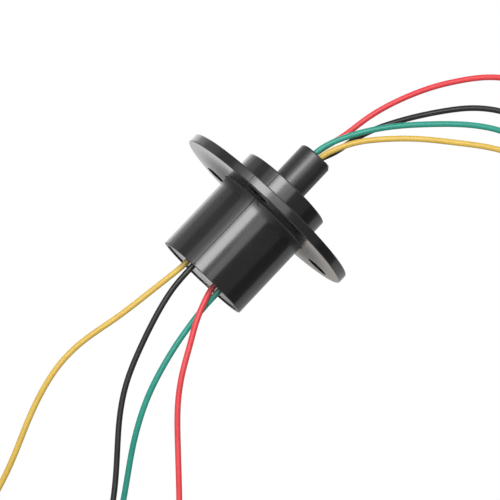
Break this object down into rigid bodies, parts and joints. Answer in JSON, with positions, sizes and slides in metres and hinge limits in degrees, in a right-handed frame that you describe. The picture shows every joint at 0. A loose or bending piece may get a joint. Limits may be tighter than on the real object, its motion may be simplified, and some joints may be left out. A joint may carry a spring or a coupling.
{
  "type": "slip ring",
  "caption": "Flanged capsule slip ring: round moulded body with mounting flange, hollow rotor shaft, gold rings, wire brushes and flying leads at both ends.",
  "frame": {"origin": "on the rotor's axis, in the flange's mounting face, which lies against the panel", "axes": "+Z along the rotor's axis from the body towards the shaft's open end; the stator's lead exits lie on the -Y side"},
  "size_m": [0.0862, 0.0444, 0.1713],
  "materials": {
    "moulding": "glossy black moulded plastic with a faint parting line",
    "shaft_moulding": "satin black turned plastic",
    "sealing_compound": "cured black epoxy",
    "bearing_steel": "ground bearing steel",
    "cage_brass": "pressed brass",
    "board": "glass-fibre board with green lacquer",
    "brush_gold": "drawn gold-alloy wire",
    "ring_gold": "turned and gold-plated",
    "barrier": "moulded insulating plastic",
    "lead_red": "smooth insulation on stranded wire",
    "lead_green": "smooth insulation on stranded wire",
    "lead_yellow": "smooth insulation on stranded wire",
    "lead_black": "smooth insulation on stranded wire"
  },
  "bodies": {
    "stator": {"housing": "moulding", "end_cap": "moulding", "exit_seal": "sealing_compound", "front_outer_race": "bearing_steel", "rear_outer_race": "bearing_steel", "brush_board_left": "board", "brush_board_right": "board", "brush_yellow": "brush_gold", "brush_red": "brush_gold", "brush_black": "brush_gold", "brush_green": "brush_gold", "stator_core_yellow": "lead_yellow", "stator_core_red": "lead_red", "stator_core_black": "lead_black", "stator_core_green": "lead_green", "stator_lead_yellow": "lead_yellow", "stator_lead_red": "lead_red", "stator_lead_black": "lead_black", "stator_lead_green": "lead_green", "stator_coil_yellow": "lead_yellow", "stator_coil_red": "lead_red", "stator_coil_black": "lead_black", "stator_coil_green": "lead_green"},
    "rotor": {"rotor_shaft": "shaft_moulding", "front_inner_race": "bearing_steel", "rear_inner_race": "bearing_steel", "spacer_sleeve": "bearing_steel", "barrier_1": "barrier", "barrier_2": "barrier", "barrier_3": "barrier", "barrier_4": "barrier", "barrier_5": "barrier", "ring_yellow": "ring_gold", "ring_red": "ring_gold", "ring_black": "ring_gold", "ring_green": "ring_gold", "mouth_seal": "sealing_compound", "rotor_core_yellow": "lead_yellow", "rotor_core_red": "lead_red", "rotor_core_black": "lead_black", "rotor_core_green": "lead_green", "rotor_lead_yellow": "lead_yellow", "rotor_lead_red": "lead_red", "rotor_lead_black": "lead_black", "rotor_lead_green": "lead_green", "rotor_coil_yellow": "lead_yellow", "rotor_coil_red": "lead_red", "rotor_coil_black": "lead_black", "rotor_coil_green": "lead_green"},
    "front_ball_cage": {"front_cage": "cage_brass", "front_balls": "bearing_steel"},
    "rear_ball_cage": {"rear_cage": "cage_brass", "rear_balls": "bearing_steel"}
  },
  "joints": [
    {"name": "rotor_spin", "type": "hinge", "parent": "stator", "child": "rotor", "pos_m": [0, 0, 0], "axis": [0, 0, 1], "continuous": true},
    {"name": "front_cage_spin", "type": "hinge", "parent": "stator", "child": "front_ball_cage", "pos_m": [0, 0, 0.0044], "axis": [0, 0, 1], "continuous": true},
    {"name": "rear_cage_spin", "type": "hinge", "parent": "stator", "child": "rear_ball_cage", "pos_m": [0, 0, -0.0156], "axis": [0, 0, 1], "continuous": true}
  ],
  "couplings": [
    {"joint": "front_cage_spin", "follows": "rotor_spin", "ratio": 0.4},
    {"joint": "rear_cage_spin", "follows": "rotor_spin", "ratio": 0.4}
  ]
}
